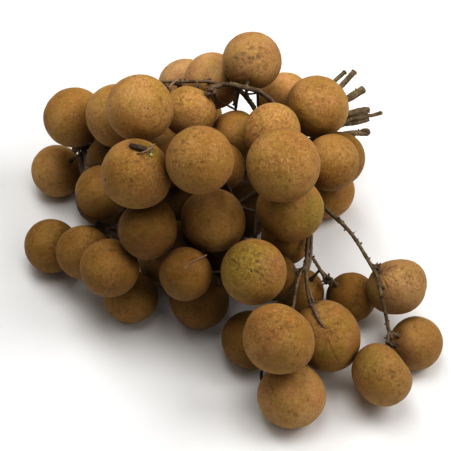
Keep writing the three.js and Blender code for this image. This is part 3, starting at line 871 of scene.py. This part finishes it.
def rod_faces(rings, sides):
    """The faces between a rod's rings, then those that close its last and first end."""
    faces = []
    last = (rings - 1) * sides
    for first in range(0, last, sides):
        for k in range(sides):
            n = (k + 1) % sides
            faces.append((first + k, first + n, first + sides + n, first + sides + k))
    faces.append(tuple(last + k for k in range(sides)))
    faces.append(tuple(reversed(range(sides))))
    return faces


def scar(middle, facing, size, sides=10):
    """A short flared stub with a hollow end, left where a stalk or bud fell."""
    d, side, other = frame_of(facing)
    verts = [middle + d * height * size + out * radius * size
             for radius, height in SCAR_OUTLINE for _, out in all_round(side, other, sides)]
    return verts, rod_faces(len(SCAR_OUTLINE), sides)


def tube(path, radii, sides=10):
    """A round rod along a path, closed at both ends; each ring follows the one before untwisted."""
    verts = []
    for i, (place, radius) in enumerate(zip(path, radii)):
        ahead = path[min(i + 1, len(path) - 1)] - path[max(i - 1, 0)]
        _, side, other = frame_of(ahead)
        if i:
            side = unit_of(side_before - ahead * (side_before @ ahead) / (ahead @ ahead))
            other = np.cross(unit_of(ahead), side)
        side_before = side
        verts += [place + out * radius for _, out in all_round(side, other, sides)]
    return verts, rod_faces(len(path), sides)


def curve_through(points, step):
    """Points about a step apart on a smooth curve through the given ones."""
    pts = [Vector(p) for p in points]
    pts = [pts[0] * 2 - pts[1], *pts, pts[-1] * 2 - pts[-2]]
    out = []
    for a, b, c, d in zip(pts, pts[1:], pts[2:], pts[3:]):
        n = max(2, int((c - b).length / step))
        for k in range(n):
            t = k / n
            out.append(0.5 * (2 * b + (c - a) * t + (2 * a - 5 * b + 4 * c - d) * t * t
                              + (3 * b - a - 3 * c + d) * t ** 3))
    out.append(pts[-2])
    return [np.array(p) for p in out]


def fused(parts, voxel):
    """One even mesh round several closed ones."""
    verts, faces = [], []
    for v, f in parts:
        faces += [tuple(i + len(verts) for i in face) for face in f]
        verts += list(v)
    mesh = bpy.data.meshes.new("work")
    mesh.from_pydata([tuple(v) for v in verts], [], faces)
    made = remeshed(mesh, voxel)
    bpy.data.meshes.remove(mesh)
    return made


def bark_piece(name, parts, tint, relief, voxel):
    """One piece with rough bark over several rods and stubs; relief and voxel are in mm."""
    pink, green, dark = tint
    verts, faces, edges = fused(parts, voxel * MM)
    verts = smoothed(verts, edges, rounds=2)
    normal = normals_of(verts, faces)
    verts = verts + normal * (relief * MM * rough(verts, 1300, 3, 2.0))[:, None]
    fields = {
        "pink": np.clip(pink + 0.4 * rough(verts, 200, 2, 7.0), 0, 1),
        "green": np.clip(green + 0.4 * rough(verts, 180, 2, 11.0), 0, 1),
        # The given darkness and random darker patches, plus painted shade at half strength where fruits
        # close round.
        "dark": np.clip(dark + 0.5 * rough(verts, 260, 2, 17.0) + 0.5 * in_shade(verts, normal),
                        0, 1),
    }
    make_piece(name, verts, faces, bark, (), fields)


# How each stalk flares and grows into its fruit: height over the skin and radius, both in mm.
STALK_FOOT = [(1.1, 0.8), (0.5, 0.95), (0.0, 1.1), (-0.4, 1.25), (-2.0, 1.0)]

feet = {name: [] for name in twig_clouds}
for number in sorted(fruit_facts):
    place, axis = stalk_end(number)
    own = min(feet, key=lambda name: np.linalg.norm(twig_clouds[name] - place, axis=1).min())
    feet[own].append(tube([place + axis * height * MM for height, _ in STALK_FOOT],
                          [radius * MM for _, radius in STALK_FOOT]))
for name, parts in feet.items():
    bark_piece(name.replace("twig", "feet"), parts, (0.1, 0.1, 0.45), relief=0.08, voxel=0.28)


# Thin twigs and scraps: how pink, green and dark, then points with the radius at each, in mm.
small_twigs = {
    "stick_upper": ((0, 0.1, 0), [(54.5, 53.2, 37.6, 1.3), (58.5, 54.4, 37.1, 1.4), (65, 56.3, 36.1, 1.3)]),
    "stick_inner": ((0, 0.1, 0), [(54.5, 52, 35.7, 1.3), (59, 53.7, 35.2, 1.45), (65.4, 55.8, 34.7, 1.35)]),
    "stick_lower": ((0, 0.1, 0.15), [(55, 50.6, 34.6, 1.05), (61, 53.2, 33.4, 1.1), (66, 55, 33.5, 1)]),
    "stick_hooked": ((0, 0, 0.25), [(56.8, 47.6, 31, 1.15), (60, 49.2, 30.2, 1.3), (62, 49.9, 29.9, 1),
        (63.8, 50.6, 30.6, 1.15), (65.4, 50.9, 29.9, 1.1), (65.9, 50.7, 28.4, 1)]),
    "under_arch_thick": ((0.1, 0.3, 0.3), [(4.4, 36.4, 71.4, 1), (8.4, 36.2, 66.4, 1.05),
        (11, 36.8, 61.6, 1.05), (13, 38.2, 56.8, 0.95)]),
    "under_arch_dark": ((0, 0.45, 0.7), [(6.2, 35.6, 70.6, 0.7), (5.6, 35, 66, 0.7),
        (5.2, 34.8, 62.9, 0.65), (4.8, 34.5, 59, 0.65)]),
    "under_arch_thin": ((0.1, 0, 0.8), [(-4.8, 33.8, 69.4, 0.5), (-2.6, 33.9, 65, 0.45),
        (0.4, 34.3, 62.6, 0.42), (2.9, 34, 61.1, 0.45), (5, 33.9, 59.6, 0.4)]),
    "under_arch_cross": ((0, 0.15, 0.8), [(8.2, 36.6, 67.2, 0.4), (10.9, 37, 66, 0.38),
        (14.6, 38.2, 65.4, 0.38)]),
    "under_arch_end": ((0, 0.5, 0.6), [(14.1, 38.2, 66.2, 0.5), (14.4, 38.4, 62, 0.6),
        (14.9, 38, 58.6, 0.55)]),
    "arch_stalk": ((0.95, 0, 0), [(-18.6, 47, 65.6, 0.5), (-20.6, 43.6, 67.2, 0.55),
        (-22.2, 39.8, 68.6, 0.6), (-23, 36.8, 69, 0.8)]),
    "front_pair": ((0.45, 0.1, 0.1), [(35.2, -12.5, 36.2, 0.6), (35.9, -15.6, 35.2, 0.62),
        (35.7, -21.9, 33.9, 0.66), (35, -26.8, 32.2, 0.7), (33.9, -31, 31.1, 0.6)]),
    "front_stalk": ((0.8, 0, 0), [(34.5, -38.4, 29.6, 0.45), (35, -43, 30.6, 0.42),
        (35.9, -45.6, 30.6, 0.4), (36.3, -48, 31.3, 0.42)]),
    "wrinkled_stalk": ((0.55, 0, 0.3), [(35.2, -48.4, 31.4, 1.1), (35.9, -51.8, 32.6, 1),
        (37, -55.2, 32.8, 0.85), (38.1, -57.4, 32.4, 0.65), (39.5, -58.9, 31.4, 0.4)]),
    # The scrap stick's darkness is partly its own dark bark and partly painted shadow from a neighbouring
    # fruit.
    "scrap_stick": ((0, 0.1, 0.8), [(-35, -15.2, 88.7, 0.9), (-34, -16.2, 89.1, 1.15),
        (-31.3, -17.1, 89.2, 1.2), (-28.7, -17.2, 88.5, 0.9)]),
    "scrap_stalk": ((0.8, 0, 0), [(-32.4, -19.2, 88.2, 0.3), (-30.1, -19.3, 89.1, 0.36),
        (-27.6, -17.4, 88.9, 0.38), (-26, -13.7, 87.7, 0.36)]),
    "scrap_green": ((0, 1, 0), [(-27.4, -14.3, 87.7, 0.5), (-27.4, -16.4, 87.6, 0.58),
        (-27.3, -18.2, 87.3, 0.65)]),
    "stalk_on_round": ((0.75, 0, -0.3), [(-15.7, -43.8, 49.2, 0.26), (-13.9, -42.1, 50, 0.32),
        (-11.6, -40.3, 50.2, 0.34), (-9.3, -38.2, 49.4, 0.36), (-6.8, -35.2, 47.6, 0.36)]),
    "slope_curl": ((0.3, 0, 0), [(-49.6, -6.8, 27.6, 0.3), (-49.2, -6, 28.6, 0.28),
        (-47.6, -5.8, 29.2, 0.28), (-46, -6.4, 29.2, 0.3), (-44.6, -7.4, 28.2, 0.4)]),
    "low_stub": ((0, 0, 0.8), [(17.2, -66.2, 18.2, 0.6), (14.8, -69.6, 16.9, 0.6),
        (14.8, -72.5, 15.3, 0.7)]),
    "left_stalk": ((0.9, 0, -0.7), [(-58.2, 39.4, 37.2, 0.5), (-60.6, 38.4, 35.2, 0.65),
        (-63.2, 37, 34.4, 0.8), (-65.6, 36.4, 33.4, 0.8), (-67.2, 37, 31.8, 0.6)]),
    # Painted shade: the next five are dark rods that fill gaps deep in the bunch where only shade shows.
    "left_dark": ((0.2, 0, 0.45), [(-63.4, 38.4, 31.2, 1), (-61.4, 34, 32.6, 1.3), (-60.4, 29.6, 33.2, 1.6),
        (-59.8, 25, 34.2, 1.6), (-58.6, 19.4, 37.4, 1.3), (-57, 13, 43, 0.9)]),
    "left_deep": ((0.1, 0, 0.5), [(-64, 37.4, 30.4, 0.9), (-63.6, 33.4, 30.2, 1.4), (-62.8, 28.6, 30, 1.7),
        (-61.6, 24, 30.6, 1.5), (-60, 19, 32, 1.2)]),
    "slope_above": ((0, 0, 0.8), [(-54.8, -0.9, 25.8, 1.2), (-52.4, -2.2, 26.2, 1.5),
        (-49.5, -3.7, 26.7, 1.6), (-44.1, -7.2, 27.3, 1.5), (-38.5, -12, 27.5, 1.2)]),
    "slope_between": ((0, 0, 0.8), [(-54.6, -2.6, 25.2, 1.2), (-48.8, -6.2, 26.2, 1.6),
        (-43.6, -9.6, 26.6, 1.6), (-38, -13.6, 26.8, 1.2)]),
    "slope_below": ((0, 0, 0.8), [(-53.4, -4.9, 24.8, 1.2), (-48.2, -8.5, 25.4, 1.6),
        (-43.2, -11.9, 25.5, 1.5), (-38, -15.4, 25.5, 1.2)]),
}
SMALL_TWIG_STEP = 0.5  # mm

for label, (tint, points) in small_twigs.items():
    middle_line = curve_through([p[:3] for p in points], SMALL_TWIG_STEP)
    along = np.linspace(0, len(points) - 1, len(middle_line))
    radii = np.interp(along, range(len(points)), [p[3] for p in points]) * MM
    draw = random.Random(label)
    radii *= [1 + draw.uniform(-0.08, 0.12) for _ in radii]
    voxel = max(0.18, 0.24 * max(radii) / MM)
    bark_piece(label, [tube([p * MM for p in middle_line], radii)], tint, relief=0.09, voxel=voxel)


# Single buds and stalk scars along the stems: place in mm, the way it points as the camera sees
# it (right, up, toward), and its size in mm.
buds = {
    "buds_long": [((47.8, -6.9, 36.3), (0.2, 1, 0.4), 0.75), ((49.6, -12, 34), (-1, -0.4, 0.3), 0.7),
        ((57.1, -17.8, 34), (0.9, 0.7, 0.3), 0.75), ((58, -25.6, 34.2), (-0.8, 0.3, 0.5), 0.55),
        ((59.8, -26.2, 34.3), (0.8, 0.5, 0.4), 0.55), ((60.2, -38.6, 34.3), (-1, 0.2, 0.3), 0.6),
        ((62.2, -44.6, 32.8), (-0.2, 0.4, 1), 0.6), ((64, -51.4, 23.2), (-1, 0.1, 0.2), 0.65),
        ((65.4, -54.3, 19.4), (-0.9, 0.3, 0.4), 0.55), ((65, -57.6, 19.8), (-1, -0.2, 0.3), 0.6),
        ((67, -53, 20.5), (0.9, 0.3, 0.5), 0.5)],
    "buds_front": [((33.2, -26.9, 33), (-0.7, 0.2, 0.7), 0.85), ((32, -30.6, 31.6), (-0.6, -0.5, 0.6), 0.8),
        ((34.2, -29.8, 31.9), (0.5, 0.2, 0.8), 0.55), ((33.2, -33.6, 30.7), (0.1, -0.4, 0.9), 0.6),
        ((35.2, -39, 29.5), (0.9, -0.1, 0.5), 0.55), ((33.4, -21.5, 33.9), (-1, 0.1, 0.3), 0.6),
        ((36.5, -16.5, 35.4), (0.9, 0.3, 0.4), 0.6), ((36.9, -23, 31.2), (0.8, 0.7, 0.2), 0.7),
        ((36.6, -25.6, 29.3), (-0.6, -0.6, 0.5), 0.6), ((44.2, -25.3, 22.9), (0.3, 1, 0.2), 0.8),
        ((46, -27, 19.4), (1, -0.4, 0.4), 0.55), ((27.6, -38.4, 31.6), (0.7, 0.5, 0.5), 0.45)],
    "buds_arch": [((-16.8, 43.2, 69.3), (0.1, 1, 0.3), 0.55), ((3.2, 38.4, 75.2), (-0.2, 1, 0.3), 0.6),
        ((5, 38, 75), (0.4, 1, 0.3), 0.5), ((2.4, 34.2, 61.9), (0.2, 1, 0.4), 0.5),
        ((-10.5, 42.5, 68.4), (0.1, -1, 0.4), 0.4), ((10.5, 34.6, 71.6), (0.3, 1, 0.4), 0.45)],
    "buds_sticks": [((59.2, 60.6, 46.9), (-0.2, 1, 0.3), 0.6), ((58.2, 52.6, 34.4), (0.1, -1, 0.3), 0.5),
        ((61.2, 50, 31.6), (0, 1, 0.4), 0.6), ((63.6, 56.9, 39.4), (0.2, 1, 0.3), 0.5)],
}

for label, group in buds.items():
    parts = []
    for place, way, size in group:
        base, outward = on_stem(place)
        parts.append(scar(base, in_view(*way) + outward, size * MM))
    bark_piece(label, parts, (0.1, 0.05, 0.55), relief=0.08, voxel=0.16)


# Tiny stubs of fallen stalks all along the stems: how many tries on each.
STUB_TRIES = {"arch": 60, "front": 110, "left": 60, "long": 90, "middle": 60, "right": 40, "slope": 70}
STUB_SPACING = 2.2 * MM
STUB_SIZES = 0.28, 0.5  # mm

for label, tries in STUB_TRIES.items():
    draw = random.Random(label)
    cloud = points_of(bpy.data.objects[f"stem_{label}"].data)
    parts, taken = [], []
    for _ in range(tries):
        place, outward = on_stem(cloud[draw.randrange(len(cloud))] / MM)
        size = draw.uniform(*STUB_SIZES) * MM
        if all(np.linalg.norm(place - other) > STUB_SPACING for other in taken):
            taken.append(place)
            parts.append(scar(place, outward, size, 8))
    bark_piece(f"stubs_{label}", parts, (0.0, 0.0, 0.6), relief=0.05, voxel=0.17)


# Knots of stalk scars and buds: name, middle in mm, reach in mm, how many, seed, pink and dark.
knots = [
    ("knot_long_tip", (67.2, -59, 20.4), 2.9, 34, 3, 0.2, 0.5),
    ("knot_long_low", (65.9, -55.8, 19.5), 1.7, 9, 9, 0.1, 0.5),
    ("knot_long_side", (61.6, -31.4, 35.3), 1.7, 10, 5, 0.2, 0.4),
    ("knot_front_side", (42.7, -27.9, 21.3), 2.7, 28, 8, 0.1, 0.8),
    ("knot_front_tip", (35.4, -46.6, 30.2), 2.3, 18, 13, 0.4, 0.3),
    ("knot_front_fork", (33.4, -27.4, 32.2), 1.2, 6, 14, 0.3, 0.2),
    ("knot_arch_tip", (-5.2, 33.2, 70.3), 3.2, 44, 21, 0.45, 0.4),
    ("knot_arch_left", (-24.6, 38.4, 68.6), 2.2, 15, 4, 0.1, 0.7),
    ("knot_arch_bud", (-23, 36.8, 69.4), 1.2, 7, 6, 0.9, 0.1),
    ("knot_left_tip", (-64.8, 37.2, 32.4), 3.2, 24, 34, 0.5, -0.2),
]

for label, middle, reach, count, seed, pink, dark in knots:
    draw = random.Random(seed)
    middle = np.array(middle) * MM
    parts = []
    for _ in range(count):
        way = unit_of(np.array([draw.gauss(0, 1) for _ in range(3)]))
        size = draw.uniform(0.5, 0.62 + 0.12 * reach) * MM
        out = middle + way * reach * MM * draw.uniform(0.35, 0.85)
        parts.append(tube([middle, out], [size * 0.75, size * 0.6], 8))
        parts.append(scar(out, way + 0.3 * in_view(0, 0.5, 1), size))
    bark_piece(label, parts, (pink, 0.0, dark), relief=0.08, voxel=0.2)


# The outline of a broken tip: height in mm and share of its radius.
TIP_OUTLINE = [(-0.3, 1.0), (0.3, 1.03), (0.7, 0.9), (0.95, 0.55)]


def build_tip(label, place, facing, radius):
    """A freshly broken, pale green end."""
    out = frame_of(facing)[0]
    rod = tube([np.array(place) * MM + out * height * MM for height, _ in TIP_OUTLINE],
               [share * radius * MM for _, share in TIP_OUTLINE], 14)
    verts, faces, edges = fused([rod], 0.15 * MM)
    verts = smoothed(verts, edges, rounds=3)
    verts = verts + normals_of(verts, faces) * (0.1 * MM * rough(verts, 1100, 2, 5.0))[:, None]
    make_piece(label, verts, faces, fresh_end, ())


build_tip("tip_slope", *cut_ends["slope"])
build_tip("tip_scrap", (-27.3, -18.5, 87.2), (0.05, -0.9, -0.35), 0.66)


# ---- Floor, light and world ----

FLOOR_REACH = 4  # m
LAMP_AIM = (0, 0, 0.03)
LAMP_SIZE = 0.35
WORLD_COLOR = (1.0, 0.99, 0.97, 1)
WORLD_STRENGTH = 0.12
GAMMA = 0.78


def floor_material():
    """Nearly white and matt, with hardly seen cloudiness."""
    s = Shader("pale_floor")
    soft = s.noise(6, 2, 0.5)
    color = s.mix(s.span(soft, 0.3, 0.7), (0.86, 0.86, 0.855), (0.88, 0.88, 0.875))
    return s.surface(color, 0.9, None, Specular_IOR_Level=0.1)


mesh = bpy.data.meshes.new("floor")
corners = [(x * FLOOR_REACH, y * FLOOR_REACH, 0) for x, y in ((-1, -1), (1, -1), (1, 1), (-1, 1))]
mesh.from_pydata(corners, [], [(0, 1, 2, 3)])
mesh.materials.append(floor_material())
placed("floor", mesh)


def area_light(name, place, watts):
    """A round soft lamp, aimed at the bunch."""
    data = bpy.data.lights.new(name, "AREA")
    data.shape = "DISK"
    data.size = LAMP_SIZE
    data.energy = watts
    lamp = placed(name, data)
    lamp.location = place
    lamp.visible_camera = False
    lamp.rotation_euler = (Vector(LAMP_AIM) - Vector(place)).to_track_quat("-Z", "Y").to_euler()


area_light("top", (0.0, 0.01, 0.63), 1.75)
area_light("right", (0.386, 0.0, 0.49), 1.95)
area_light("back_left", (-0.2, 0.28, 0.52), 1.25)
area_light("front_right", (0.273, -0.273, 0.49), 0.65)
area_light("left", (-0.386, 0.0, 0.49), 0.3)

world = bpy.data.worlds.new("studio")
world.use_nodes = True
background = world.node_tree.nodes["Background"]
background.inputs[0].default_value = WORLD_COLOR
background.inputs[1].default_value = WORLD_STRENGTH
scene.world = world
scene.view_settings.view_transform = "Standard"
scene.view_settings.gamma = GAMMA
